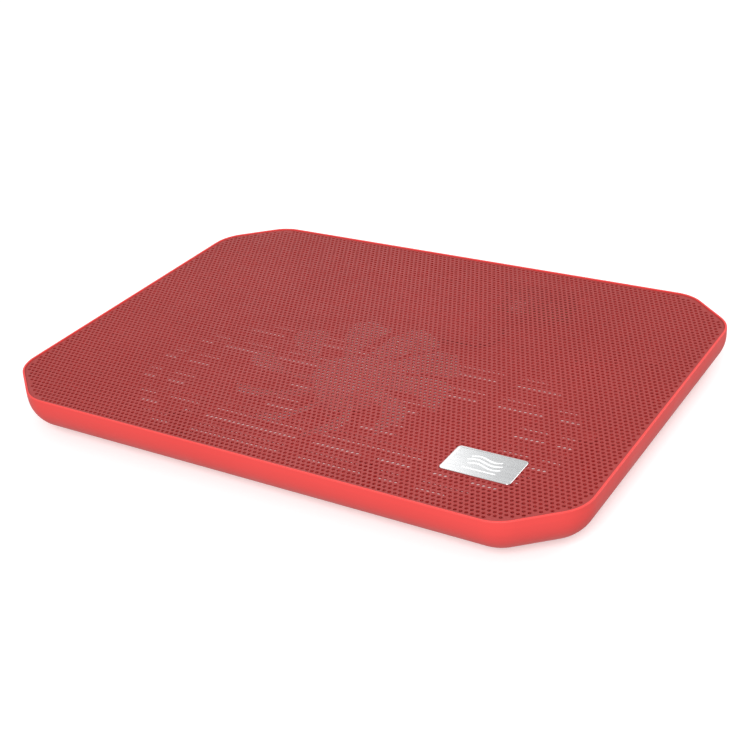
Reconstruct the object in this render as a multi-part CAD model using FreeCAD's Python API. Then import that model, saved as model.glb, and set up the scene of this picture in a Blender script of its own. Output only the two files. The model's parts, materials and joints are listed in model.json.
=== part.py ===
import FreeCAD, Part
import math
import os

from FreeCAD import Vector

# Laptop cooling pad: a moulded tray under a perforated metal sheet, one large frameless fan, two
# fold-out rear legs and a rear panel with two USB-A sockets and a slide switch.
# Millimetres. +X to the right, +Y to the rear, +Z up. The origin lies on the desk under the centre.

os.makedirs("parts", exist_ok=True)

# ---- driving dimensions: casing -------------------------------------------------------------------
WIDTH = 350.0
DEPTH = 252.0
CORNER_X = 32.0            # chamfered corner, measured along X
CORNER_Y = 28.0            # and along Y
CORNER_ROUND = 23.0        # rounding of the outline's eight vertices
FOOT_RISE = 2.2            # the feet lift the tray by this much
SHELL_HEIGHT = 23.8
EDGE_ROUND = 20.0          # rounding between the tray's floor and its sides
WALL = 2.0                 # tray wall and floor
LIP = 1.2                  # width of the lip round the metal sheet
LIP_RISE = 0.6             # the lip stands above the sheet by this much
LIP_ROUND = 0.4
SHEET = 0.6
SHEET_GAP = 0.15

SHELL_Z = FOOT_RISE
FLOOR_Z = SHELL_Z + WALL
TOP_Z = SHELL_Z + SHELL_HEIGHT
SHEET_TOP = TOP_Z - LIP_RISE
SHEET_Z = SHEET_TOP - SHEET

# ---- driving dimensions: fan ----------------------------------------------------------------------
FAN_Y = -24.0
FAN_RADIUS = 62.0
BLADES = 10
HUB_RADIUS = 20.0
HUB_WALL = 1.6
HUB_Z = 7.4
HUB_TOP = 20.4
SHAFT_RADIUS = 1.5
BEARING_GAP = 0.03         # radial clearance of the shaft in its sleeve
TUBE_TOP = 16.4
BASE_RADIUS = 26.0
BASE_THICK = 1.8

# ---- driving dimensions: floor slots --------------------------------------------------------------
ROWS = 16
ROW_PITCH = 8.05
ROWS_Y = -26.1             # middle of the rows
SLOT = 4.4
FIELD = (136.0, 84.0)      # half-axes of the slotted field
RIB_CURVE = (121.5, 70.0)  # half-axes of the curved rib in it
RIB_CURVE_REACH = 45.0     # the curved rib covers the rows this near to the middle
RIB_HALF = 2.5
RIB_BAND = (67.5, 76.0)    # straight ribs beside the fan
MIDDLE_RIB = 4.5
CLOSED_BAND = (44.0, 98.0)
CLOSED_REACH = 21.0
SLOT_SHORTEST = 6.0

# ---- driving dimensions: legs ---------------------------------------------------------------------
LEG_X = 108.0
LEG_WIDTH = 16.0
LEG_THICK = 8.0
LEG_Z = SHELL_Z + 0.2
PIVOT_Y = 96.0
PIVOT_Z = LEG_Z + LEG_THICK / 2
LEG_TIP_Y = 50.0
LEG_PAD_LONG = 4.0
PIN_RADIUS = 1.5
PIN_GAP = 0.05
POCKET_GAP = 0.6
POCKET_WALL = 1.8
POCKET_REAR = 102.0
POCKET_TOP = 12.6
POCKET_ROOF = 1.6
FINGER_GAP = 2.5           # extra room past the leg's tip

# ---- driving dimensions: rear panel ---------------------------------------------------------------
PANEL_X = (28.0, 76.0)
PANEL_Z = (8.5, 20.0)
PANEL_Y = 119.0            # outer face of the bezel
BEZEL = 1.6
TUNNEL_WALL = 2.0
BOARD_X = (29.0, 75.0)
BOARD_Y = (94.0, 117.2)
BOARD_Z = 9.4
BOARD = 1.6
BOARD_TOP = BOARD_Z + BOARD
SOCKET_X = {"left": 37.0, "right": 53.5}
SOCKET_SIZE = (13.1, 15.3, 5.7)    # outside of a USB-A socket: width, depth, height
SOCKET_METAL = 0.3
SWITCH_X = 68.0
SWITCH_TRAVEL = 3.5

BOSSES = [(-60, -100), (60, -100), (-150, -40), (150, -40), (-150, 45), (150, 45),
          (-88, 98), (0, 100), (88, 98)]
FEET = {"front_foot_left": (-138, -80), "front_foot_right": (138, -80),
        "rear_foot_left": (-138, 80), "rear_foot_right": (138, 80)}
FOOT_RADIUS = 7.0
FOOT_SINK = 0.8


# ---- helpers --------------------------------------------------------------------------------------
def save(name, shape):
    """Write one sub-part, after checking that its solids are sound."""
    if not shape.isValid() or not shape.Solids:
        raise ValueError(name + " is not a sound solid")
    print(name, len(shape.Solids), round(shape.Volume, 1))
    shape.exportStep(os.path.join("parts", name + ".step"))


def box(low, high):
    """Box between two corners."""
    size = [b - a for a, b in zip(low, high)]
    return Part.makeBox(size[0], size[1], size[2], Vector(*low))


def rod(radius, low, high, x=0.0, y=0.0):
    """Upright cylinder from height low to height high."""
    return Part.makeCylinder(radius, high - low, Vector(x, y, low))


def ring(outer, inner, low, high, x=0.0, y=0.0):
    """Upright tube."""
    return rod(outer, low, high, x, y).cut(rod(inner, low - 1, high + 1, x, y))


def rod_x(radius, low, high, y, z):
    """Cylinder along X."""
    return Part.makeCylinder(radius, high - low, Vector(low, y, z), Vector(1, 0, 0))


def rounded_polygon(corners, radius, z):
    """Closed wire through the corners at height z, each corner rounded."""
    points = [Vector(x, y, z) for x, y in corners]
    count = len(points)
    bends = []
    for i, corner in enumerate(points):
        back = (points[i - 1] - corner).normalize()
        ahead = (points[(i + 1) % count] - corner).normalize()
        half = back.getAngle(ahead) / 2
        run = radius / math.tan(half)
        inwards = (back + ahead).normalize()
        middle = corner + inwards * (radius / math.sin(half) - radius)
        bends.append((corner + back * run, middle, corner + ahead * run))
    edges = []
    for i, (start, middle, end) in enumerate(bends):
        edges.append(Part.Arc(start, middle, end).toShape())
        edges.append(Part.LineSegment(end, bends[(i + 1) % count][0]).toShape())
    return Part.Wire(edges)


def prism(wire, height):
    """Solid that stands on a closed flat wire."""
    return Part.Face(wire).extrude(Vector(0, 0, height))


def slot_prism(x_low, x_high, y, width, z_low, z_high):
    """Round-ended slot along X."""
    r = width / 2
    middle = box((x_low + r, y - r, z_low), (x_high - r, y + r, z_high))
    ends = [rod(r, z_low, z_high, x, y) for x in (x_low + r, x_high - r)]
    return middle.fuse(ends).removeSplitter()


def outline(inset, z):
    """The pad's outline, moved inwards by inset, at height z."""
    a = WIDTH / 2 - inset
    b = DEPTH / 2 - inset
    slant = math.hypot(CORNER_X, CORNER_Y)
    nx = CORNER_Y / slant
    ny = CORNER_X / slant
    reach = nx * (WIDTH / 2 - CORNER_X) + ny * DEPTH / 2 - inset
    x = (reach - ny * b) / nx
    y = (reach - nx * a) / ny
    corners = [(x, -b), (a, -y), (a, y), (x, b), (-x, b), (-a, y), (-a, -y), (-x, -b)]
    return rounded_polygon(corners, CORNER_ROUND - inset, z)


def edges_at(shape, z):
    """The shape's edges that lie in one level plane."""
    return [e for e in shape.Edges
            if abs(e.BoundBox.ZMin - z) < 1e-4 and abs(e.BoundBox.ZMax - z) < 1e-4]


def bowl(inset, floor_z, top_z):
    """Solid with the pad's outline and its rounded lower edge, moved inwards by inset."""
    body = prism(outline(inset, floor_z), top_z - floor_z)
    return body.makeFillet(EDGE_ROUND - inset, edges_at(body, floor_z))


def bent_path(points, share=0.45):
    """Straight runs joined by tangent arcs."""
    points = [Vector(*p) for p in points]
    edges = []
    start = points[0]
    for before, corner, after in zip(points, points[1:], points[2:]):
        back = (before - corner)
        ahead = (after - corner)
        cut = share * min(back.Length, ahead.Length)
        half = back.getAngle(ahead) / 2
        radius = cut * math.tan(half)
        back.normalize()
        ahead.normalize()
        inwards = (back + ahead).normalize()
        middle = corner + inwards * (radius / math.sin(half) - radius)
        print("  bend radius", round(radius, 1))
        edges.append(Part.LineSegment(start, corner + back * cut).toShape())
        edges.append(Part.Arc(corner + back * cut, middle, corner + ahead * cut).toShape())
        start = corner + ahead * cut
    edges.append(Part.LineSegment(start, points[-1]).toShape())
    return Part.Wire(edges)


# ---- bottom shell ---------------------------------------------------------------------------------
def half_width(axes, dy):
    """Half-width of an ellipse at the height dy over its middle, or 0 outside it."""
    a, b = axes
    return a * math.sqrt(max(0.0, 1 - (dy / b) ** 2))


def row_spans(dy):
    """Where one row of the floor is open, for x > 0, at the distance dy from the rows' middle."""
    closed = [RIB_BAND]
    if abs(dy) < CLOSED_REACH:
        closed.append(CLOSED_BAND)
    if abs(dy) < RIB_CURVE_REACH:
        inside = half_width([h - RIB_HALF for h in RIB_CURVE], dy)
        outside = half_width([h + RIB_HALF for h in RIB_CURVE], dy)
        closed.append((inside, outside))
    from_fan = max(0.0, abs(ROWS_Y + dy - FAN_Y) - SLOT / 2)
    start = max(MIDDLE_RIB, half_width((BASE_RADIUS + 1, BASE_RADIUS + 1), from_fan))
    end = half_width(FIELD, dy)
    spans = []
    for low, high in sorted(closed):
        if low > start:
            spans.append((start, min(low, end)))
        start = max(start, high)
    spans.append((start, end))
    return [(low, high) for low, high in spans if high - low > SLOT_SHORTEST]


def floor_slots():
    """All open slots of the floor, mirrored about the middle."""
    slots = []
    for row in range(ROWS):
        dy = (row - (ROWS - 1) / 2) * ROW_PITCH
        for low, high in row_spans(dy):
            for x_low, x_high in ((low, high), (-high, -low)):
                slots.append(slot_prism(x_low, x_high, ROWS_Y + dy, SLOT, SHELL_Z - 1, FLOOR_Z + 1))
    return slots


BOSS_RADIUS = 4.5
SEAT_Z = 14.0              # shoulder that a case screw's head pulls against
HEAD_RADIUS = 2.5
HEAD_THICK = 1.6
SCREW_RADIUS = 1.25
BRACKET = 1.4
BRACKET_HALF = 4.0
BRACKET_SKIN = 0.3         # closed end of a bracket's thread
BOSS_TOP = SHEET_Z - BRACKET
POST_X = (32.5, 71.5)
POST_Y = 98.0
POST_RADIUS = 3.0
POST_SCREW = 1.0
POST_SCREW_TIP = 6.4
TUNNEL_Y = 113.0           # front of the wall that holds the rear panel
PANEL_BACK = 100.0         # cuts for the rear panel start this far back
MOTOR_SCREW_RING = 23.0
MOTOR_SCREW_RADIUS = 1.2
MOTOR_SCREW_HEAD = 2.5
MOTOR_SCREW_SINK = 1.1
HOOKS = [(0.0, 20.0), (0.0, 38.0), (45.0, 70.0)]
LEAD_RADIUS = 0.9


def motor_screw_places():
    """The three motor screws, evenly round the fan's axis."""
    for turn in (30, 150, 270):
        angle = math.radians(turn)
        yield MOTOR_SCREW_RING * math.cos(angle), FAN_Y + MOTOR_SCREW_RING * math.sin(angle)


def pocket_roof(x, z_low, z_high):
    """Roof over one folded leg; the finger gap past the leg's tip stays open."""
    half = LEG_WIDTH / 2
    wide = half + POCKET_GAP + POCKET_WALL / 2
    tip = LEG_TIP_Y + half
    straight = box((x - wide, tip + 3, z_low),
                   (x + wide, POCKET_REAR + POCKET_WALL / 2, z_high))
    neck = box((x - half, tip, z_low), (x + half, tip + 4, z_high))
    return straight.fuse([rod(half, z_low, z_high, x, tip), neck])


def pocket_plan(x, grow, z_low, z_high):
    """Room for one folded leg, with a finger gap past its tip."""
    half = LEG_WIDTH / 2 + grow
    tip = LEG_TIP_Y + LEG_WIDTH / 2
    straight = box((x - half, tip - FINGER_GAP, z_low),
                   (x + half, POCKET_REAR + grow - POCKET_GAP, z_high))
    return straight.fuse(rod(half, z_low, z_high, x, tip - FINGER_GAP)).removeSplitter()


def lead_hook(x, y):
    """A moulded pair of posts that holds the lead down."""
    gap = LEAD_RADIUS + 0.1
    sides = [box((x + s, y - 1.5, FLOOR_Z - 0.5), (x + s + 1, y + 1.5, FLOOR_Z + 2.6))
             for s in (gap, -gap - 1)]
    cap = box((x - gap - 1, y - 1.5, FLOOR_Z + 1.9), (x + gap + 1, y + 1.5, FLOOR_Z + 2.6))
    return sides + [cap]


def bottom_shell():
    outer = bowl(0, SHELL_Z, TOP_Z)
    outer = outer.makeFillet(LIP_ROUND, edges_at(outer, TOP_Z))
    shell = outer.cut(bowl(WALL, FLOOR_Z, TOP_Z + 1))

    added = [rod(BOSS_RADIUS, FLOOR_Z - 1, BOSS_TOP, x, y) for x, y in BOSSES]
    added += [rod(POST_RADIUS, FLOOR_Z - 1, BOARD_Z, x, POST_Y) for x in POST_X]
    for x, y in HOOKS:
        added += lead_hook(x, y)
    for side in (-1, 1):
        added.append(pocket_plan(side * LEG_X, POCKET_GAP + POCKET_WALL, SHELL_Z, POCKET_TOP))
    tunnel = box((PANEL_X[0] - TUNNEL_WALL, TUNNEL_Y, PANEL_Z[0] - TUNNEL_WALL),
                 (PANEL_X[1] + TUNNEL_WALL, DEPTH / 2, PANEL_Z[1] + TUNNEL_WALL))
    added.append(tunnel.common(outer))
    shell = shell.fuse(added)

    removed = floor_slots()
    removed.append(prism(outline(LIP, SHEET_Z), SHELL_HEIGHT))
    for x, y in BOSSES:
        removed.append(rod(HEAD_RADIUS + 0.4, SHELL_Z - 1, SEAT_Z, x, y))
        removed.append(rod(SCREW_RADIUS + 0.15, SEAT_Z - 1, BOSS_TOP + 1, x, y))
    removed += [rod(POST_SCREW, POST_SCREW_TIP - 0.4, BOARD_Z + 1, x, POST_Y) for x in POST_X]
    for x, y in motor_screw_places():
        removed.append(rod(MOTOR_SCREW_HEAD + 0.2, SHELL_Z - 1, SHELL_Z + MOTOR_SCREW_SINK, x, y))
        removed.append(rod(MOTOR_SCREW_RADIUS + 0.1, SHELL_Z, FLOOR_Z + 1, x, y))
    for x, y in FEET.values():
        removed.append(rod(FOOT_RADIUS, SHELL_Z - 1, SHELL_Z + FOOT_SINK, x, y))
    removed.append(box((PANEL_X[0], PANEL_BACK, PANEL_Z[0]), (PANEL_X[1], DEPTH, PANEL_Z[1])))
    for side in (-1, 1):
        x = side * LEG_X
        half = LEG_WIDTH / 2 + POCKET_GAP + POCKET_WALL
        removed.append(pocket_plan(x, POCKET_GAP, SHELL_Z - 1, POCKET_TOP + 1))
        removed.append(rod_x(PIN_RADIUS, x - half - 1, x + half + 1, PIVOT_Y, PIVOT_Z))
    shell = shell.cut(removed)

    roofs = [pocket_roof(side * LEG_X, POCKET_TOP - POCKET_ROOF, POCKET_TOP) for side in (-1, 1)]
    return shell.fuse(roofs).removeSplitter()


# ---- metal sheet, its fastening and the badge -----------------------------------------------------
BADGE_SIZE = (38.0, 21.9)
BADGE_AT = (115.7, -84.1)
GLUE = 0.15
BADGE_THICK = LIP_RISE - GLUE


def mesh_top():
    return prism(outline(LIP + SHEET_GAP, SHEET_Z), SHEET)


def mesh_brackets():
    """Square plates with a blind thread, welded under the sheet over each boss."""
    half = BRACKET_HALF
    plates = []
    for x, y in BOSSES:
        plate = box((x - half, y - half, BOSS_TOP), (x + half, y + half, SHEET_Z))
        plates.append(plate.cut(rod(SCREW_RADIUS, BOSS_TOP - 1, SHEET_Z - BRACKET_SKIN, x, y)))
    return Part.makeCompound(plates)


def screw(x, y, seat, tip, radius, head_radius, head_thick):
    """Cross-head screw, head below its seat, pointing up."""
    head = rod(head_radius, seat - head_thick, seat, x, y)
    body = head.fuse(rod(radius, seat, tip, x, y)).removeSplitter()
    low = seat - head_thick
    long = head_radius * 0.6
    cross = [box((x - a, y - b, low - 1), (x + a, y + b, low + head_thick * 0.5))
             for a, b in ((long, 0.35), (0.35, long))]
    return body.cut(cross)


def case_screws():
    tip = SHEET_Z - BRACKET_SKIN - 0.1
    return Part.makeCompound([screw(x, y, SEAT_Z, tip, SCREW_RADIUS, HEAD_RADIUS, HEAD_THICK)
                              for x, y in BOSSES])


def badge_block(shrink, round_off, low, high):
    a = BADGE_SIZE[0] / 2 - shrink
    b = BADGE_SIZE[1] / 2 - shrink
    x, y = BADGE_AT
    corners = [(x - a, y - b), (x + a, y - b), (x + a, y + b), (x - a, y + b)]
    return prism(rounded_polygon(corners, round_off, low), high - low)


# ---- fan rotor ------------------------------------------------------------------------------------
BLADE_START = 19.5         # degrees, first blade's root, from +X
BLADE_SWEEP = 21.6         # degrees, tip behind root, clockwise from above
BLADE_SWEEP_POWER = 1.19
# Each blade section: radius, width in degrees, height of the leading and trailing edge, thickness
BLADE_SECTIONS = [(18.9, 12.0, 12.4, 18.0, 2.0),
                  (25.0, 9.8, 12.9, 18.4, 1.8),
                  (32.0, 10.0, 13.5, 18.8, 1.7),
                  (45.0, 17.6, 14.5, 19.8, 1.5),
                  (57.0, 20.4, 15.4, 20.6, 1.3),
                  (FAN_RADIUS + 1.5, 13.0, 16.2, 20.6, 1.2)]
CAMBER = 0.5
CAP_WALL = 1.5
CAP_Z = HUB_TOP - CAP_WALL
SHAFT_TOP = HUB_TOP - 1.0
SHAFT_BOTTOM = 5.0
SHAFT_BOSS = 3.2           # radius of the boss that grips the shaft
YOKE_WALL = 0.8
MAGNET_WALL = 2.0


def blade_section(radius, width, lead_z, trail_z, thick):
    """Closed wire in the upright plane that stands across the radius."""
    along = (radius - BLADE_SECTIONS[0][0]) / (FAN_RADIUS - BLADE_SECTIONS[0][0])
    turn = math.radians(BLADE_START - BLADE_SWEEP * along ** BLADE_SWEEP_POWER)
    centre = Vector(radius * math.cos(turn), FAN_Y + radius * math.sin(turn), -thick / 2)
    across = Vector(-math.sin(turn), math.cos(turn), 0) * (radius * math.tan(math.radians(width / 2)))
    points = [centre + across * side + Vector(0, 0, z)
              for side, z in ((-1, lead_z), (0, (lead_z + trail_z) / 2 + CAMBER), (1, trail_z))]
    lift = Vector(0, 0, thick)
    upper = [p + lift for p in points]
    return Part.Wire([Part.Arc(*points).toShape(),
                      Part.LineSegment(points[2], upper[2]).toShape(),
                      Part.Arc(upper[2], upper[1], upper[0]).toShape(),
                      Part.LineSegment(upper[0], points[0]).toShape()])


def fan_rotor():
    """Hub and blades, one moulding."""
    inner = HUB_RADIUS - HUB_WALL
    hub = rod(HUB_RADIUS, HUB_Z, HUB_TOP, 0, FAN_Y)
    hub = hub.makeFillet(1.0, edges_at(hub, HUB_TOP))
    hub = hub.cut(rod(inner, HUB_Z - 1, CAP_Z, 0, FAN_Y))
    hub = hub.fuse(rod(SHAFT_BOSS, TUBE_TOP + 0.5, CAP_Z + 0.5, 0, FAN_Y))
    hub = hub.cut(rod(SHAFT_RADIUS, 0, SHAFT_TOP, 0, FAN_Y))
    blade = Part.makeLoft([blade_section(*s) for s in BLADE_SECTIONS], True, False)
    blade = blade.common(rod(FAN_RADIUS, HUB_Z, HUB_TOP, 0, FAN_Y))
    centre = Vector(0, FAN_Y, 0)
    blades = []
    for i in range(BLADES):
        turned = blade.copy()
        turned.rotate(centre, Vector(0, 0, 1), i * 360.0 / BLADES)
        blades.append(turned)
    return hub.fuse(blades).removeSplitter()


def rotor_yoke():
    outer = HUB_RADIUS - HUB_WALL
    cup = rod(outer, HUB_Z + 1, CAP_Z, 0, FAN_Y)
    cup = cup.cut(rod(outer - YOKE_WALL, HUB_Z, CAP_Z - YOKE_WALL, 0, FAN_Y))
    return cup.cut(rod(SHAFT_BOSS, HUB_Z, HUB_TOP, 0, FAN_Y))


def rotor_magnet():
    outer = HUB_RADIUS - HUB_WALL - YOKE_WALL
    return ring(outer, outer - MAGNET_WALL, HUB_Z + 1.4, HUB_TOP - 3.8, 0, FAN_Y)


CLIP_Z = (5.4, 5.8)


def rotor_shaft():
    shaft = rod(SHAFT_RADIUS, SHAFT_BOTTOM, SHAFT_TOP, 0, FAN_Y)
    return shaft.cut(ring(SHAFT_RADIUS + 1, SHAFT_RADIUS - 0.3, CLIP_Z[0], CLIP_Z[1], 0, FAN_Y))


def shaft_clip():
    clip = ring(2.6, SHAFT_RADIUS - 0.3, CLIP_Z[0], CLIP_Z[1], 0, FAN_Y)
    return clip.cut(box((-0.9, FAN_Y, 0), (0.9, FAN_Y + 4, 10)))


# ---- fan stator -----------------------------------------------------------------------------------
TUBE_RADIUS = 4.6
TUBE_BORE = 3.0
POLES = 4
NECK_HALF = 2.2
CORE_Z = (8.7, 13.7)
CORE_RADIUS = 7.4
SHOE_RADIUS = 14.8
SHOE_INNER = 12.8
SHOE_HALF = 8.2
COIL_X = (7.8, 12.0)       # inner and outer end of a coil, along its pole
COIL_THICK = 1.8
BOARD_RADIUS = 16.5
SLEEVE_Z = (6.2, 16.0)
BASE_TOP = FLOOR_Z + BASE_THICK
CHANNEL = (1.6, 9.0)       # half-width of the lead's channel, and where it starts


def motor_base():
    flange = rod(BASE_RADIUS, FLOOR_Z, BASE_TOP, 0, FAN_Y)
    base = flange.fuse(rod(TUBE_RADIUS, FLOOR_Z, TUBE_TOP, 0, FAN_Y))
    base = base.cut(rod(TUBE_BORE, FLOOR_Z - 1, TUBE_TOP + 1, 0, FAN_Y))
    holes = [rod(MOTOR_SCREW_RADIUS, FLOOR_Z - 1, BASE_TOP + 1, x, y)
             for x, y in motor_screw_places()]
    half, start = CHANNEL
    channel = box((-half, FAN_Y + start, FLOOR_Z - 1),
                  (half, FAN_Y + BASE_RADIUS + 2, BASE_TOP + 1))
    return base.cut(holes + [channel]).removeSplitter()


def bearing_cap():
    return rod(TUBE_BORE, FLOOR_Z, FLOOR_Z + 0.6, 0, FAN_Y)


def bearing_sleeve():
    return ring(TUBE_BORE, SHAFT_RADIUS + BEARING_GAP, SLEEVE_Z[0], SLEEVE_Z[1], 0, FAN_Y)


def fan_board():
    return ring(BOARD_RADIUS, TUBE_RADIUS, BASE_TOP, BASE_TOP + 1.0, 0, FAN_Y)


def around_fan(shape, count):
    """Copies of a shape, evenly round the fan's axis."""
    copies = []
    for i in range(count):
        turned = shape.copy()
        turned.rotate(Vector(0, FAN_Y, 0), Vector(0, 0, 1), 45 + i * 360.0 / count)
        copies.append(turned)
    return copies


def stator_core():
    low, high = CORE_Z
    core = rod(CORE_RADIUS, low, high, 0, FAN_Y)
    neck = box((CORE_RADIUS - 1.4, FAN_Y - NECK_HALF, low),
               (SHOE_INNER + 0.4, FAN_Y + NECK_HALF, high))
    shoe = ring(SHOE_RADIUS, SHOE_INNER, low, high, 0, FAN_Y)
    shoe = shoe.common(box((0, FAN_Y - SHOE_HALF, low), (HUB_RADIUS, FAN_Y + SHOE_HALF, high)))
    core = core.fuse(around_fan(neck.fuse(shoe), POLES))
    return core.cut(rod(TUBE_RADIUS, 0, 30, 0, FAN_Y)).removeSplitter()


def stator_coils():
    low, high = CORE_Z
    half = NECK_HALF + COIL_THICK
    coil = box((COIL_X[0], FAN_Y - half, low - 1.0), (COIL_X[1], FAN_Y + half, high + 1.0))
    coil = coil.makeFillet(0.9, [e for e in coil.Edges if abs(e.tangentAt(e.FirstParameter).x) > 0.9])
    coil = coil.cut(box((5, FAN_Y - NECK_HALF, low), (15, FAN_Y + NECK_HALF, high)))
    return Part.makeCompound(around_fan(coil, POLES))


def fan_screws():
    seat = SHELL_Z + MOTOR_SCREW_SINK
    return Part.makeCompound([screw(x, y, seat, BASE_TOP, MOTOR_SCREW_RADIUS, MOTOR_SCREW_HEAD, 0.9)
                              for x, y in motor_screw_places()])


# ---- fan lead -------------------------------------------------------------------------------------
PLUG_Z = 13.5
LEAD_ROUTE = [(0.0, FAN_Y + 10, FLOOR_Z + LEAD_RADIUS), (0.0, 47.0, FLOOR_Z + LEAD_RADIUS),
              (16.0, 56.0, FLOOR_Z + LEAD_RADIUS), (38.0, 56.0, FLOOR_Z + LEAD_RADIUS),
              (45.0, 64.0, FLOOR_Z + LEAD_RADIUS), (45.0, 76.0, FLOOR_Z + LEAD_RADIUS),
              (45.0, 83.0, PLUG_Z), (45.0, 90.0, PLUG_Z)]


def fan_lead():
    path = bent_path(LEAD_ROUTE)
    start = Vector(*LEAD_ROUTE[0])
    section = Part.Wire([Part.Circle(start, Vector(0, 1, 0), LEAD_RADIUS).toShape()])
    lead = path.makePipeShell([section], True, False)
    expected = math.pi * LEAD_RADIUS ** 2 * path.Length
    print("  lead length", round(path.Length, 1), "volume ratio", round(lead.Volume / expected, 4))
    return lead


def fan_plug():
    return box((42.2, 90, PLUG_Z - 1.7), (47.8, 99, PLUG_Z + 1.7))


def fan_header():
    """Board socket that takes the lead's plug."""
    body = box((41, 94.5, BOARD_TOP), (49, 101, BOARD_TOP + 5))
    return body.cut(fan_plug())


# ---- rear panel -----------------------------------------------------------------------------------
SOCKET_FRONT = PANEL_Y - 0.2
TONGUE = (11.1, 8.8, 1.84)
SLIDER_HALF = 1.5
SWITCH_MID_Z = BOARD_TOP + 2.7
REST_X = SWITCH_X - SWITCH_TRAVEL / 2
SWITCH_HALF = 5.0          # half-width of the switch's body
SWITCH_WALL = 1.0
SWITCH_BACK = 110.0
SWITCH_HEIGHT = 5.4
CAPACITOR_AT = (64.5, 102.0)
CAPACITOR_RADIUS = 2.5
CAPACITOR_HEIGHT = 7.0
CONTACTS = (-3.5, -1.0, 1.0, 3.5)


def power_board():
    board = box((BOARD_X[0], BOARD_Y[0], BOARD_Z), (BOARD_X[1], BOARD_Y[1], BOARD_TOP))
    return board.cut([rod(1.1, 0, 30, x, POST_Y) for x in POST_X])


def board_screws():
    screws = []
    for x in POST_X:
        head = rod(1.9, BOARD_TOP, BOARD_TOP + 1.2, x, POST_Y)
        body = head.fuse(rod(POST_SCREW, POST_SCREW_TIP, BOARD_TOP, x, POST_Y))
        cross = [box((x - a, POST_Y - b, BOARD_TOP + 0.6), (x + a, POST_Y + b, 20))
                 for a, b in ((1.2, 0.3), (0.3, 1.2))]
        screws.append(body.removeSplitter().cut(cross))
    return Part.makeCompound(screws)


def socket_box(x, shrink, y_low, y_high):
    w, _, h = SOCKET_SIZE
    return box((x - w / 2 + shrink, y_low, BOARD_TOP + shrink),
               (x + w / 2 - shrink, y_high, BOARD_TOP + h - shrink))


def usb_socket(x):
    """Folded metal shell of a USB-A socket, closed at the back."""
    back = SOCKET_FRONT - SOCKET_SIZE[1]
    return socket_box(x, 0, back, SOCKET_FRONT).cut(
        socket_box(x, SOCKET_METAL, back + SOCKET_METAL, SOCKET_FRONT + 1))


def usb_tongues():
    """Insulators: a block at the back of each socket and the tongue with its four contacts."""
    tongues = []
    back = SOCKET_FRONT - SOCKET_SIZE[1] + SOCKET_METAL
    for x in SOCKET_X.values():
        block = socket_box(x, SOCKET_METAL, back, back + 4.5)
        top = BOARD_TOP + SOCKET_SIZE[2] - SOCKET_METAL - 0.9
        tongue = box((x - TONGUE[0] / 2, back + 4, top - TONGUE[2]),
                     (x + TONGUE[0] / 2, back + 4.5 + TONGUE[1], top))
        grooves = [box((x + offset - 0.5, back + 5.5, top - TONGUE[2] - 1),
                       (x + offset + 0.5, back + 4.5 + TONGUE[1] - 1, top - TONGUE[2] + 0.15))
                   for offset in CONTACTS]
        tongues.append(block.fuse(tongue).removeSplitter().cut(grooves))
    return Part.makeCompound(tongues)


def port_bezel():
    plate = box((PANEL_X[0], PANEL_Y - BEZEL, PANEL_Z[0]), (PANEL_X[1], PANEL_Y, PANEL_Z[1]))
    holes = [socket_box(x, 0, PANEL_BACK, PANEL_Y + 1) for x in SOCKET_X.values()]
    reach = SLIDER_HALF + SWITCH_TRAVEL / 2 + 0.45
    holes.append(box((SWITCH_X - reach, PANEL_BACK, SWITCH_MID_Z - 1.6),
                     (SWITCH_X + reach, PANEL_Y + 1, SWITCH_MID_Z + 1.6)))
    return plate.cut(holes)


def switch_body():
    """Switch housing, open at the front."""
    inner = SWITCH_HALF - SWITCH_WALL
    body = box((SWITCH_X - SWITCH_HALF, SWITCH_BACK, BOARD_TOP),
               (SWITCH_X + SWITCH_HALF, PANEL_Y - BEZEL, BOARD_TOP + SWITCH_HEIGHT))
    return body.cut(box((SWITCH_X - inner, SWITCH_BACK + 1.5, SWITCH_MID_Z - 1.7),
                        (SWITCH_X + inner, PANEL_Y, SWITCH_MID_Z + 1.7)))


def switch_slider():
    base = box((REST_X - 2, SWITCH_BACK + 2, SWITCH_MID_Z - 1.4),
               (REST_X + 2, PANEL_Y - BEZEL - 0.3, SWITCH_MID_Z + 1.4))
    knob = box((REST_X - SLIDER_HALF, SWITCH_BACK + 3, SWITCH_MID_Z - 1.2),
               (REST_X + SLIDER_HALF, PANEL_Y + 2, SWITCH_MID_Z + 1.2))
    grooves = [box((REST_X + offset - 0.2, PANEL_Y + 1.6, 0), (REST_X + offset + 0.2, PANEL_Y + 3, 30))
               for offset in (-0.8, 0, 0.8)]
    return base.fuse(knob).removeSplitter().cut(grooves)


def capacitor():
    top = BOARD_TOP + CAPACITOR_HEIGHT
    can = rod(CAPACITOR_RADIUS, BOARD_TOP, top, *CAPACITOR_AT)
    return can.makeFillet(0.5, edges_at(can, top))


# ---- legs and feet --------------------------------------------------------------------------------
CORE_Y = (64.0, 88.0)      # the leg is cored between these, above its sole
CORE_HALF = 6.0
WEB = (75.0, 77.0)
PEG_HALF = (3.0, 1.5)      # peg that holds the rubber tip: half-width and half-height
PEG_LONG = 4.0
GRIP_Y = (60.0, 62.5, 65.0)

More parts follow.
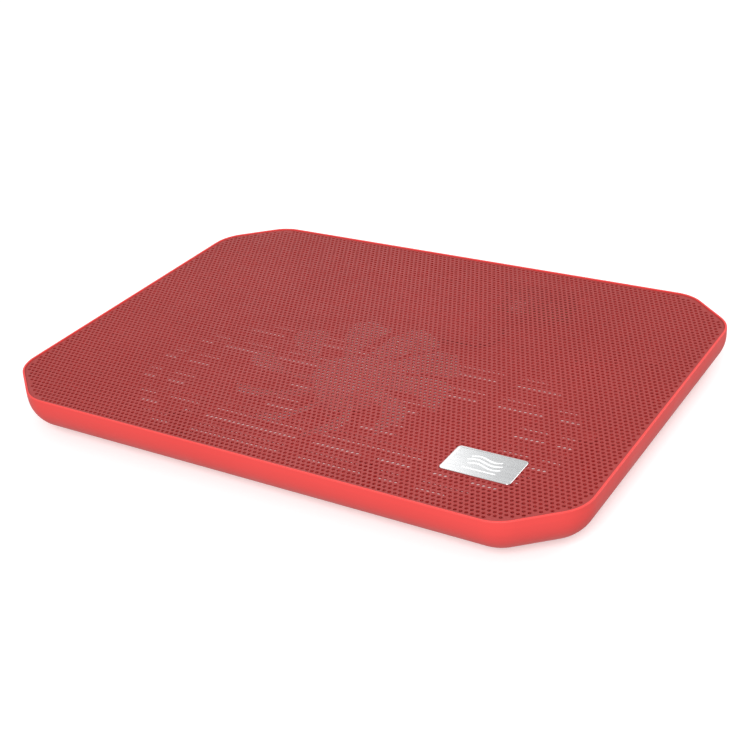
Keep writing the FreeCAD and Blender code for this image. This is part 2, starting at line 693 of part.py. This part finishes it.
def leg_solid(x):
    """Whole leg with its tip: a bar, round at the heel and, seen from below, round at the tip."""
    half = LEG_WIDTH / 2
    r = LEG_THICK / 2
    tip_y = LEG_TIP_Y + half
    bar = box((x - half, tip_y, LEG_Z), (x + half, PIVOT_Y, LEG_Z + LEG_THICK))
    heel = rod_x(r, x - half, x + half, PIVOT_Y, PIVOT_Z)
    tip = rod(half, LEG_Z, LEG_Z + LEG_THICK, x, tip_y)
    leg = bar.fuse([heel, tip]).removeSplitter()
    rim = [e for e in leg.Edges if e.BoundBox.YMax < PIVOT_Y - r
           and isinstance(e.Curve, Part.Circle)]
    return leg.makeFillet(1.0, rim)


def rear_leg(x):
    leg = leg_solid(x)
    leg = leg.cut(tip_space(x))
    cored = box((x - CORE_HALF, CORE_Y[0], LEG_Z + 2), (x + CORE_HALF, CORE_Y[1], TOP_Z))
    web = box((x - CORE_HALF, WEB[0], LEG_Z), (x + CORE_HALF, WEB[1], LEG_Z + LEG_THICK))
    leg = leg.cut(cored.cut(web))
    pin_hole = rod_x(PIN_RADIUS + PIN_GAP, x - LEG_WIDTH, x + LEG_WIDTH, PIVOT_Y, PIVOT_Z)
    grip = [box((x - 5, y - 0.5, 0), (x + 5, y + 0.5, LEG_Z + 0.5)) for y in GRIP_Y]
    return leg.cut([tip_peg(x), pin_hole] + grip)


def tip_space(x):
    """Everything in front of the joint between a leg and its rubber tip."""
    return box((x - LEG_WIDTH, 0, 0), (x + LEG_WIDTH, LEG_TIP_Y + LEG_PAD_LONG, TOP_Z))


def tip_peg(x):
    half_x, half_z = PEG_HALF
    return box((x - half_x, LEG_TIP_Y + 2, PIVOT_Z - half_z),
               (x + half_x, LEG_TIP_Y + LEG_PAD_LONG + PEG_LONG, PIVOT_Z + half_z))


def leg_pad(x):
    pad = leg_solid(x).common(tip_space(x))
    return pad.fuse(tip_peg(x)).removeSplitter()


def leg_pin(x):
    half = LEG_WIDTH / 2 + POCKET_GAP + POCKET_WALL - 0.2
    return rod_x(PIN_RADIUS, x - half, x + half, PIVOT_Y, PIVOT_Z)


def foot(x, y):
    disc = rod(FOOT_RADIUS, 0, SHELL_Z + FOOT_SINK, x, y)
    return disc.makeFillet(0.8, edges_at(disc, 0))


# ---- write everything -----------------------------------------------------------------------------
def main():
    save("bottom_shell", bottom_shell())
    save("mesh_top", mesh_top())
    save("mesh_brackets", mesh_brackets())
    save("case_screws", case_screws())
    save("badge_adhesive", badge_block(1.0, 1.0, SHEET_TOP, SHEET_TOP + GLUE))
    save("badge_plate", badge_block(0.0, 2.0, SHEET_TOP + GLUE, SHEET_TOP + GLUE + BADGE_THICK))
    save("fan_rotor", fan_rotor())
    save("rotor_yoke", rotor_yoke())
    save("rotor_magnet", rotor_magnet())
    save("rotor_shaft", rotor_shaft())
    save("shaft_clip", shaft_clip())
    save("motor_base", motor_base())
    save("bearing_cap", bearing_cap())
    save("bearing_sleeve", bearing_sleeve())
    save("fan_board", fan_board())
    save("stator_core", stator_core())
    save("stator_coils", stator_coils())
    save("fan_screws", fan_screws())
    save("fan_lead", fan_lead())
    save("fan_plug", fan_plug())
    save("fan_header", fan_header())
    save("power_board", power_board())
    save("board_screws", board_screws())
    save("board_capacitor", capacitor())
    for side, x in SOCKET_X.items():
        save("usb_socket_" + side, usb_socket(x))
    save("usb_tongues", usb_tongues())
    save("port_bezel", port_bezel())
    save("switch_body", switch_body())
    save("switch_slider", switch_slider())
    for side, x in (("left", -LEG_X), ("right", LEG_X)):
        save("rear_leg_" + side, rear_leg(x))
        save("leg_pad_" + side, leg_pad(x))
        save("leg_pin_" + side, leg_pin(x))
    for name, (x, y) in FEET.items():
        save(name, foot(x, y))


main()
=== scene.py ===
import json
import math

import bmesh
import bpy
import numpy as np
from mathutils import Matrix, Vector
from mathutils.geometry import delaunay_2d_cdt


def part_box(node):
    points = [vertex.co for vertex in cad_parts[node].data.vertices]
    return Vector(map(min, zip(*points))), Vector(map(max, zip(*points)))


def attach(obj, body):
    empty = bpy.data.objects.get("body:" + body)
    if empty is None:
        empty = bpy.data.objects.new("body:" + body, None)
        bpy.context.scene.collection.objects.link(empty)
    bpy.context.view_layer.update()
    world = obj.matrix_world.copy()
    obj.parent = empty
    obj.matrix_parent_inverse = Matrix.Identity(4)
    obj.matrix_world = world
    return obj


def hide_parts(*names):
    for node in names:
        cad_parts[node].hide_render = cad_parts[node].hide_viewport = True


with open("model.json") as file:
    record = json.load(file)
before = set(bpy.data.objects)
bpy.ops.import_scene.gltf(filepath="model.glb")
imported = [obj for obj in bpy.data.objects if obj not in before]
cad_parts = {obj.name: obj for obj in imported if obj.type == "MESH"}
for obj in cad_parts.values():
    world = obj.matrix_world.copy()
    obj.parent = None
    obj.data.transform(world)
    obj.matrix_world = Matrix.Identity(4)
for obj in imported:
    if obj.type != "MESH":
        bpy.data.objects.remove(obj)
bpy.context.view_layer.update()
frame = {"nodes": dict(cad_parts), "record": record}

# Laptop cooling pad. Lengths are in metres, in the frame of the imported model.
MM = 0.001

# ---- driving values -------------------------------------------------------------------------------
HOLE_PITCH_X = 2.907 * MM      # staggered holes of the metal sheet
HOLE_PITCH_Y = 2.841 * MM
HOLE_RADIUS = 0.98 * MM
HOLE_SIDES = 12                # two to each corner of a hole's cell, as cell_pattern needs
SHEET_MARGIN = 0.35 * MM       # unpunched rim of the sheet, at its narrowest
SHEET_PARTS = 4
SAME_LEVEL = 0.01 * MM         # points nearer than this in height lie on one face
SAME_POINT = 0.001 * MM        # grid to which points are rounded before they are joined
OUTLINE_DIGITS = 7             # decimals kept of the outline's metres
NO_LENGTH = 1e-9
HOLES_AT_ONCE = 2000           # compared in one go, to save memory

CAMERA_AZIMUTH = -33.91        # degrees; the camera looks along this heading, from +Y towards +X
CAMERA_ELEVATION = 28.64
CAMERA_ROLL = -5.38
CAMERA_DISTANCE = 0.7927
CAMERA_TARGET = Vector((-0.0032, 0.0074, 0.0022))
CAMERA_LENS = 66.07            # mm, as is the sensor's width
CAMERA_SENSOR = 36.0
CAMERA_REACH = 20.0            # far end of what it sees

FLOOR_HALF = 6.0               # half of the floor's side
FLOOR_DROP = 0.2 * MM          # keeps the floor clear of the rubber feet
FLOOR_GLOW = 0.36
WORLD_BELOW = 0.5              # strength of the world's light from below and from above
WORLD_ABOVE = 0.6
WORLD_BLEND = 0.25             # z of a direction at which the upper strength is reached
# Softboxes: name, place, aim, width and watts. The one called back is aimed near the badge.
SOFTBOXES = (("key", (0.6, -1.6, 1.3), (0, 0, 0), 1.2, 35.0),
             ("back", (-0.745, 0.96, 0.9), (0.115, -0.083, 0.026), 0.42, 0.62),
             ("rear", (0.9, 1.4, 1.2), (0, 0, 0), 1.2, 12.0))


# ---- node helpers ---------------------------------------------------------------------------------
NOISE_SPAN = (0.3, 0.7)        # where most values of a noise lie


def linear(red, green, blue):
    """Shader colour of an sRGB colour given as 0 to 255."""
    def one(value):
        value /= 255
        return value / 12.92 if value <= 0.04045 else ((value + 0.055) / 1.055) ** 2.4
    return (one(red), one(green), one(blue), 1.0)


class Surface:
    """A material with a Principled shader and short calls for its texture nodes."""

    def __init__(self, name, colour, roughness, **sockets):
        self.material = bpy.data.materials.new(name)
        self.material.use_nodes = True
        self.tree = self.material.node_tree
        self.shader = self.tree.nodes["Principled BSDF"]
        self.shader.inputs["Base Color"].default_value = colour
        self.shader.inputs["Roughness"].default_value = roughness
        for socket, value in sockets.items():
            self.shader.inputs[socket.replace("_", " ")].default_value = value

    def node(self, kind, **inputs):
        made = self.tree.nodes.new("ShaderNode" + kind)
        for socket, value in inputs.items():
            made.inputs[socket.replace("_", " ")].default_value = value
        return made

    def link(self, source, target):
        self.tree.links.new(source, target)

    def place(self, stretch=(1, 1, 1)):
        """Object coordinates, stretched."""
        mapping = self.node("Mapping", Scale=stretch)
        self.link(self.node("TexCoord").outputs["Object"], mapping.inputs["Vector"])
        return mapping.outputs["Vector"]

    def noise(self, scale, detail, stretch=(1, 1, 1)):
        made = self.node("TexNoise", Scale=scale, Detail=detail)
        self.link(self.place(stretch), made.inputs["Vector"])
        return made.outputs["Fac"]

    def spread(self, value, low, high):
        """Map a noise onto low to high."""
        made = self.node("MapRange", From_Min=NOISE_SPAN[0], From_Max=NOISE_SPAN[1],
                         To_Min=low, To_Max=high)
        self.link(value, made.inputs["Value"])
        return made.outputs["Result"]

    def vary_roughness(self, value, low, high):
        self.link(self.spread(value, low, high), self.shader.inputs["Roughness"])
        return self

    def vary_colour(self, value, first, second, at=NOISE_SPAN):
        ramp = self.node("ValToRGB")
        ramp.color_ramp.elements[0].position = at[0]
        ramp.color_ramp.elements[0].color = first
        ramp.color_ramp.elements[1].position = at[1]
        ramp.color_ramp.elements[1].color = second
        self.link(value, ramp.inputs["Fac"])
        self.link(ramp.outputs["Color"], self.shader.inputs["Base Color"])
        return self

    def bump(self, value, strength, distance):
        made = self.node("Bump", Strength=strength, Distance=distance)
        self.link(value, made.inputs["Height"])
        self.link(made.outputs["Normal"], self.shader.inputs["Normal"])
        return self


# ---- materials ------------------------------------------------------------------------------------
def red_plastic():
    """Bright red moulded plastic with a fine spark-eroded grain."""
    s = Surface("red_plastic", linear(236, 75, 72), 0.45, Specular_IOR_Level=0.3)
    s.vary_colour(s.noise(9.0, 2.0), linear(234, 73, 70), linear(238, 77, 74))
    s.vary_roughness(s.noise(60.0, 2.0), 0.36, 0.46)
    return s.bump(s.noise(1800.0, 2.0), 0.25, 0.02 * MM).material


def red_paint():
    """Powder coat on the punched sheet."""
    s = Surface("red_paint", linear(163, 56, 54), 0.42, Specular_IOR_Level=0.33)
    s.vary_colour(s.noise(14.0, 3.0), linear(160, 54, 52), linear(166, 58, 56))
    s.vary_roughness(s.noise(140.0, 2.0), 0.36, 0.48)
    return s.bump(s.noise(2600.0, 2.0), 0.3, 0.015 * MM).material


def milky_plastic():
    """Translucent fan moulding."""
    s = Surface("milky_plastic", linear(255, 246, 244), 0.3, Subsurface_Weight=0.08,
                Subsurface_Scale=1.0 * MM)
    s.vary_roughness(s.noise(80.0, 2.0), 0.25, 0.36)
    return s.bump(s.noise(900.0, 1.0), 0.1, 0.01 * MM).material


def plain_plastic(name, colour, low, high, grain=1500.0):
    s = Surface(name, colour, (low + high) / 2)
    s.vary_roughness(s.noise(70.0, 2.0), low, high)
    return s.bump(s.noise(grain, 2.0), 0.3, 0.02 * MM).material


def brushed_metal(name, colour, rough, stretch):
    """Metal with drawn or brushed lines along one axis."""
    s = Surface(name, colour, rough, Metallic=1.0)
    lines = s.noise(900.0, 3.0, stretch)
    s.vary_roughness(lines, rough * 0.8, rough * 1.25)
    return s.bump(lines, 0.12, 0.01 * MM).material


def circuit_board():
    s = Surface("circuit_board", linear(24, 96, 52), 0.35)
    tracks = s.noise(260.0, 1.0, (1, 0.4, 1))
    s.vary_colour(tracks, linear(18, 82, 44), linear(40, 122, 66), at=(0.48, 0.52))
    return s.bump(tracks, 0.2, 0.02 * MM).material


def copper_winding():
    s = Surface("copper_winding", linear(184, 100, 58), 0.3, Metallic=1.0)
    wave = s.node("TexWave", Scale=700.0, Distortion=0.6)
    wave.bands_direction = "Z"
    s.link(s.place(), wave.inputs["Vector"])
    return s.bump(wave.outputs["Fac"], 0.6, 0.1 * MM).material


def rubber():
    s = Surface("rubber", linear(40, 40, 41), 0.75)
    s.vary_roughness(s.noise(120.0, 3.0), 0.65, 0.85)
    return s.bump(s.noise(2200.0, 3.0), 0.5, 0.03 * MM).material


def floor_paper():
    """White paper that can be seen through from below."""
    s = Surface("floor_paper", linear(231, 231, 231), 0.9, Specular_IOR_Level=0.1,
                Emission_Color=(1, 1, 1, 1), Emission_Strength=FLOOR_GLOW)
    s.bump(s.noise(300.0, 2.0), 0.05, 0.05 * MM)
    one_sided = s.node("MixShader")
    s.link(s.node("NewGeometry").outputs["Backfacing"], one_sided.inputs["Fac"])
    s.link(s.shader.outputs["BSDF"], one_sided.inputs[1])
    s.link(s.node("BsdfTransparent").outputs["BSDF"], one_sided.inputs[2])
    s.link(one_sided.outputs["Shader"], s.tree.nodes["Material Output"].inputs["Surface"])
    return s.material


MATERIALS = {
    "red_plastic": red_plastic(),
    "red_mesh": red_paint(),
    "steel": brushed_metal("zinc_steel", linear(196, 197, 200), 0.34, (1, 1, 0.2)),
    "shaft_steel": brushed_metal("ground_steel", linear(214, 215, 218), 0.2, (1, 1, 12)),
    "adhesive": plain_plastic("foam_tape", linear(222, 222, 216), 0.8, 0.95, 900.0),
    "badge": brushed_metal("badge_aluminium", linear(238, 239, 240), 0.2, (0.06, 1, 1)),
    "badge_motif": plain_plastic("white_enamel", linear(246, 246, 246), 0.3, 0.4, 700.0),
    "fan_plastic": milky_plastic(),
    "ferrite": plain_plastic("bonded_ferrite", linear(62, 62, 64), 0.55, 0.7),
    "black_plastic": plain_plastic("black_plastic", linear(28, 28, 29), 0.4, 0.55),
    "bronze": brushed_metal("sintered_bronze", linear(186, 142, 92), 0.45, (1, 1, 1)),
    "circuit_board": circuit_board(),
    "copper": copper_winding(),
    "lead_sheath": plain_plastic("lead_sheath", linear(34, 34, 35), 0.45, 0.6),
    "white_plastic": plain_plastic("white_plastic", linear(232, 231, 226), 0.4, 0.5),
    "can_aluminium": brushed_metal("can_aluminium", linear(214, 216, 220), 0.3, (1, 1, 6)),
    "socket_steel": brushed_metal("tinned_steel", linear(208, 209, 212), 0.28, (1, 0.15, 1)),
    "rubber": rubber(),
}


def dress_cad_nodes():
    """Every carried-over CAD node takes the material of its slot."""
    for part in frame["record"]["subparts"]:
        node = frame["nodes"][part["node"]]
        for holder in node.material_slots:
            holder.material = MATERIALS[part["material_slot"]]


# ---- mesh helpers ---------------------------------------------------------------------------------
def mesh_object(name, points, faces, material):
    """Object of one material from points and faces."""
    mesh = bpy.data.meshes.new(name)
    mesh.from_pydata(np.asarray(points).tolist(), [], [tuple(f) for f in faces])
    mesh.update()
    mesh.materials.append(material)
    made = bpy.data.objects.new(name, mesh)
    bpy.context.scene.collection.objects.link(made)
    return made


# ---- punched sheet --------------------------------------------------------------------------------
def sheet_outline(node):
    """Plan outline of a flat convex CAD plate, anticlockwise."""
    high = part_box(node)[1]
    plan = {(round(v.co.x, OUTLINE_DIGITS), round(v.co.y, OUTLINE_DIGITS))
            for v in frame["nodes"][node].data.vertices if v.co.z > high.z - SAME_LEVEL}
    return np.array(sorted(plan, key=lambda p: math.atan2(p[1], p[0])))


def inside(points, outline, margin):
    """Which points lie inside a convex outline by more than margin."""
    start = outline
    run = np.roll(outline, -1, axis=0) - start
    length = np.hypot(run[:, 0], run[:, 1])
    keep = length > NO_LENGTH
    start, run = start[keep], run[keep] / length[keep, None]
    offset = points[:, None, :] - start[None]
    depth = run[None, :, 0] * offset[..., 1] - run[None, :, 1] * offset[..., 0]
    return (depth > margin).all(axis=1)


def cell_corners():
    """The six corners of a hole's cell, anticlockwise from the lower right one."""
    half, row = HOLE_PITCH_X / 2, HOLE_PITCH_Y
    side = (row ** 2 - half ** 2) / (2 * row)
    peak = (row ** 2 + half ** 2) / (2 * row)
    return np.array([(half, -side), (half, side), (0, peak),
                     (-half, side), (-half, -side), (0, -peak)])


def hole_grid(outline):
    """Centres of the holes whose whole cell fits in the outline."""
    reach = np.abs(outline).max(axis=0)
    rows = int(reach[1] / HOLE_PITCH_Y) + 2
    columns = int(reach[0] / HOLE_PITCH_X) + 2
    row, column = np.meshgrid(np.arange(-rows, rows + 1), np.arange(-columns, columns + 1))
    x = (column + 0.5 * (row % 2)) * HOLE_PITCH_X
    centres = np.stack([x.ravel(), (row * HOLE_PITCH_Y).ravel()], axis=1)
    corners = (centres[:, None] + cell_corners()[None]).reshape(-1, 2)
    fits = inside(corners, outline, SHEET_MARGIN).reshape(len(centres), 6).all(axis=1)
    return centres[fits]


def cell_pattern():
    """Points and triangles of one cell: its corners, then the points round its hole."""
    corners = cell_corners()
    first = math.atan2(corners[0][1], corners[0][0])
    angles = first + np.arange(HOLE_SIDES) * 2 * math.pi / HOLE_SIDES
    hole = HOLE_RADIUS * np.stack([np.cos(angles), np.sin(angles)], axis=1)
    triangles = []
    for k in range(6):
        corner, following = k, (k + 1) % 6
        a, b, c = (6 + (2 * k + i) % HOLE_SIDES for i in range(3))
        triangles += [(corner, following, b), (corner, b, a), (following, c, b)]
    return np.concatenate([corners, hole]), np.array(triangles)


def merged(points, triangles):
    """Join points that coincide."""
    keys = np.round(points / SAME_POINT).astype(np.int64)
    _, first, inverse = np.unique(keys, axis=0, return_index=True, return_inverse=True)
    return points[first], inverse.ravel()[triangles]


def border_edges(triangles):
    """Directed edges that only one triangle has."""
    edges = np.concatenate([triangles[:, [0, 1]], triangles[:, [1, 2]], triangles[:, [2, 0]]])
    size = int(edges.max()) + 1
    key = np.minimum(edges[:, 0], edges[:, 1]) * size + np.maximum(edges[:, 0], edges[:, 1])
    _, inverse, count = np.unique(key, return_inverse=True, return_counts=True)
    return edges[count[inverse.ravel()] == 1]


def rim_triangles(outline, centres):
    """The unpunched strip between the outermost cells and the outline."""
    cells = (centres[:, None] + cell_corners()[None]).reshape(-1, 2)
    fan = np.array([(0, k, k + 1) for k in range(1, 5)])
    faces = (np.arange(len(centres))[:, None, None] * 6 + fan[None]).reshape(-1, 3)
    points, faces = merged(cells, faces)
    steps = border_edges(faces)
    used, renumbered = np.unique(steps, return_inverse=True)
    steps = renumbered.reshape(-1, 2)
    ring = len(outline)
    flat = np.concatenate([outline, points[used]])
    edges = [(i, (i + 1) % ring) for i in range(ring)]
    edges += [(int(a) + ring, int(b) + ring) for a, b in steps]
    # Output type 0 fills the whole hull, so the triangles over the cells are taken out below.
    found = delaunay_2d_cdt([Vector(p) for p in flat.tolist()], edges, [], 0, NO_LENGTH)
    spots = np.array([tuple(v) for v in found[0]])
    faces = np.array(found[2])
    middle = spots[faces].mean(axis=1)
    nearest = np.full(len(middle), np.inf)
    for first in range(0, len(centres), HOLES_AT_ONCE):
        gap = middle[:, None] - centres[None, first:first + HOLES_AT_ONCE]
        nearest = np.minimum(nearest, (gap ** 2).sum(axis=2).min(axis=1))
    in_cell = nearest < nearest_other(middle, centres)
    return spots, faces[inside(middle, outline, 0) & ~in_cell]


def nearest_other(spots, centres):
    """Squared distance from each spot to the closest point of the full pattern that has no hole."""
    row = np.round(spots[:, 1] / HOLE_PITCH_Y)
    best = np.full(len(spots), np.inf)
    punched = {(round(x / HOLE_PITCH_X * 2), round(y / HOLE_PITCH_Y)) for x, y in centres.tolist()}
    for dr in (-1, 0, 1):
        for dc in (-1, 0, 1):
            r = row + dr
            shift = 0.5 * (r % 2)
            c = np.round(spots[:, 0] / HOLE_PITCH_X - shift) + dc
            x = (c + shift) * HOLE_PITCH_X
            keys = [(round(a / HOLE_PITCH_X * 2), round(b)) for a, b in zip(x, r)]
            empty = np.array([key not in punched for key in keys])
            gap = (spots[:, 0] - x) ** 2 + (spots[:, 1] - r * HOLE_PITCH_Y) ** 2
            best = np.where(empty, np.minimum(best, gap), best)
    return best


def punched_sheet():
    """The perforated sheet as closed parts, side by side."""
    low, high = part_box("mesh_top")
    outline = sheet_outline("mesh_top")
    centres = hole_grid(outline)
    cell, pattern = cell_pattern()
    points = (centres[:, None] + cell[None]).reshape(-1, 2)
    faces = (np.arange(len(centres))[:, None, None] * len(cell) + pattern[None]).reshape(-1, 3)
    rim_points, rim_faces = rim_triangles(outline, centres)
    points, faces = merged(np.concatenate([points, rim_points]),
                           np.concatenate([faces, rim_faces + len(points)]))
    a, b, c = (points[faces[:, i]] for i in range(3))
    turn = (b - a)[:, 0] * (c - a)[:, 1] - (b - a)[:, 1] * (c - a)[:, 0]
    faces = np.where(turn[:, None] > 0, faces, faces[:, ::-1])
    strip = np.clip(((a[:, 0] + b[:, 0] + c[:, 0]) / 3 - low.x) / (high.x - low.x) * SHEET_PARTS,
                    0, SHEET_PARTS - 1).astype(int)
    for part in range(SHEET_PARTS):
        used, local = np.unique(faces[strip == part], return_inverse=True)
        local = local.reshape(-1, 3)
        plan = points[used]
        count = len(plan)
        top = np.column_stack([plan, np.full(count, high.z)])
        under = np.column_stack([plan, np.full(count, low.z)])
        edge = border_edges(local)
        wall = np.column_stack([edge[:, 1], edge[:, 0], edge[:, 0] + count, edge[:, 1] + count])
        sides = local.tolist() + (local[:, ::-1] + count).tolist() + wall.tolist()
        piece = mesh_object(f"punched_sheet_{part + 1}", np.concatenate([top, under]), sides,
                            MATERIALS["red_mesh"])
        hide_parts("mesh_top")
        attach(piece, "root")


# ---- badge ----------------------------------------------------------------------------------------
# Lengths here are in mm, except where MM is given.
BADGE_ROUND = 2.0 * MM
BADGE_CORNER_POINTS = 8
BADGE_SHARPEST = 0.5 * MM      # least corner radius of an inner loop
MOTIF_DROP = 0.02 * MM         # top of the motif below the top of the border
MOTIF_STEPS = 28
MOTIF_SWELL = 1.15             # rise of a wave above its middle line
MOTIF_TIP = 0.25               # width of a wave at its ends, as a share of its greatest
MOTIF_FULLNESS = 0.6           # below 1, a wave stays wide further towards its ends
MOTIF_TOP = 0.8                # width of the flat top, as a share of the width at its foot
# Loops of the plate, from below: inset, and height above its top, or None for its underside
BADGE_STEPS = ((0.0, None), (0.0, -0.14), (0.05, -0.05), (0.16, 0.0), (1.15, 0.0), (1.35, -0.16))
# Strokes of the motif: start and end in x, middle line in y, width
BADGE_STROKES = ((-8.6, 8.0, 4.6, 1.3), (-9.6, 9.2, 1.6, 1.5), (-8.0, 9.8, -1.6, 1.3))
BADGE_RULE = (-9.0, 9.0, -5.6, 0.8)


def rounded_loop(half_x, half_y, radius):
    """Points of a rounded rectangle round the origin, anticlockwise."""
    loop = []
    for quarter, (sx, sy) in enumerate(((1, 1), (-1, 1), (-1, -1), (1, -1))):
        for step in range(BADGE_CORNER_POINTS):
            turn = math.pi / 2 * (quarter + step / (BADGE_CORNER_POINTS - 1))
            loop.append((sx * (half_x - radius) + radius * math.cos(turn),
                         sy * (half_y - radius) + radius * math.sin(turn)))
    return loop


def badge_plate():
    """Metal badge with a bevelled raised border round a sunk field."""
    low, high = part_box("badge_plate")
    middle = (low + high) / 2
    half = (high - low) / 2
    points, faces = [], []
    for inset, drop in BADGE_STEPS:
        inset *= MM
        z = low.z if drop is None else high.z + drop * MM
        radius = max(BADGE_ROUND - inset, BADGE_SHARPEST)
        loop = rounded_loop(half.x - inset, half.y - inset, radius)
        points += [(middle.x + x, middle.y + y, z) for x, y in loop]
    ring = len(points) // len(BADGE_STEPS)
    for level in range(len(BADGE_STEPS) - 1):
        for i in range(ring):
            a, b = level * ring + i, level * ring + (i + 1) % ring
            faces.append((a, b, b + ring, a + ring))
    faces.append(tuple(range(ring - 1, -1, -1)))
    faces.append(tuple(range(len(points) - ring, len(points))))
    plate = mesh_object("badge", points, faces, MATERIALS["badge"])
    field = high.z + BADGE_STEPS[-1][1] * MM
    motif = badge_motif(middle, field, high.z - MOTIF_DROP)
    for piece in (plate, motif):
        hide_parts("badge_plate")
        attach(piece, "root")


def badge_motif(middle, low, high):
    """Three waves for moving air over a thin rule, raised from the badge's field."""
    points, faces = [], []
    ribbons = [stroke + (MOTIF_SWELL,) for stroke in BADGE_STROKES]
    ribbons.append(BADGE_RULE + (0.0,))
    for start, end, y, width, swell in ribbons:
        first = len(points)
        for i in range(MOTIF_STEPS + 1):
            share = i / MOTIF_STEPS
            x = start + (end - start) * share
            wave = swell * math.sin(2 * math.pi * share)
            full = MOTIF_TIP + (1 - MOTIF_TIP) * math.sin(math.pi * share) ** MOTIF_FULLNESS
            taper = width / 2 * (full if swell else 1.0)
            for side, z in ((-1.0, low), (-MOTIF_TOP, high), (MOTIF_TOP, high), (1.0, low)):
                points.append((middle.x + x * MM, middle.y + (y + wave + side * taper) * MM, z))
        for i in range(MOTIF_STEPS):
            a = first + i * 4
            faces += [(a + k, a + (k + 1) % 4, a + 4 + (k + 1) % 4, a + 4 + k) for k in range(4)]
        faces.append((first + 3, first + 2, first + 1, first))
        last = first + MOTIF_STEPS * 4
        faces.append((last, last + 1, last + 2, last + 3))
    motif = mesh_object("badge_motif", points, faces, MATERIALS["badge_motif"])
    outward(motif)
    return motif


def outward(piece):
    """Turn every face of closed forms outwards."""
    mesh = bmesh.new()
    mesh.from_mesh(piece.data)
    bmesh.ops.recalc_face_normals(mesh, faces=mesh.faces)
    mesh.to_mesh(piece.data)
    mesh.free()


# ---- studio ---------------------------------------------------------------------------------------
def studio_floor():
    mesh = bpy.data.meshes.new("floor")
    half = FLOOR_HALF
    corners = [(-half, -half, 0), (half, -half, 0), (half, half, 0), (-half, half, 0)]
    mesh.from_pydata(corners, [], [(0, 1, 2, 3)])
    mesh.materials.append(floor_paper())
    floor = bpy.data.objects.new("floor", mesh)
    floor.location.z = -FLOOR_DROP
    floor.visible_diffuse = False
    floor.visible_glossy = False
    bpy.context.scene.collection.objects.link(floor)


def softbox(name, place, aim, size, power):
    data = bpy.data.lights.new(name, "AREA")
    data.shape = "SQUARE"
    data.size = size
    data.energy = power
    light = bpy.data.objects.new(name, data)
    light.location = place
    light.rotation_euler = (Vector(aim) - Vector(place)).to_track_quat("-Z", "Y").to_euler()
    bpy.context.scene.collection.objects.link(light)


def studio_light():
    bpy.context.scene.view_settings.view_transform = "Standard"
    world = bpy.data.worlds.new("studio")
    world.use_nodes = True
    tree = world.node_tree
    background = tree.nodes["Background"]
    split = tree.nodes.new("ShaderNodeSeparateXYZ")
    level = tree.nodes.new("ShaderNodeMapRange")
    level.inputs["From Min"].default_value = -WORLD_BLEND
    level.inputs["From Max"].default_value = WORLD_BLEND
    level.inputs["To Min"].default_value = WORLD_BELOW
    level.inputs["To Max"].default_value = WORLD_ABOVE
    direction = tree.nodes.new("ShaderNodeTexCoord").outputs["Generated"]
    tree.links.new(direction, split.inputs["Vector"])
    tree.links.new(split.outputs["Z"], level.inputs["Value"])
    tree.links.new(level.outputs["Result"], background.inputs["Strength"])
    background.inputs["Color"].default_value = (1, 1, 1, 1)
    bpy.context.scene.world = world
    for name, place, aim, size, power in SOFTBOXES:
        softbox(name, place, aim, size, power)


def camera():
    a = math.radians(CAMERA_AZIMUTH)
    e = math.radians(CAMERA_ELEVATION)
    r = math.radians(CAMERA_ROLL)
    ahead = Vector((math.sin(a) * math.cos(e), math.cos(a) * math.cos(e), -math.sin(e)))
    right = ahead.cross(Vector((0, 0, 1))).normalized()
    up = right.cross(ahead)
    right, up = math.cos(r) * right + math.sin(r) * up, math.cos(r) * up - math.sin(r) * right
    data = bpy.data.cameras.new("camera")
    data.sensor_width = CAMERA_SENSOR
    data.lens = CAMERA_LENS
    data.clip_end = CAMERA_REACH
    made = bpy.data.objects.new("camera", data)
    turn = Matrix((right, up, -ahead)).transposed().to_4x4()
    made.matrix_world = Matrix.Translation(CAMERA_TARGET - ahead * CAMERA_DISTANCE) @ turn
    bpy.context.scene.collection.objects.link(made)
    bpy.context.scene.camera = made


dress_cad_nodes()
punched_sheet()
badge_plate()
studio_floor()
studio_light()
camera()
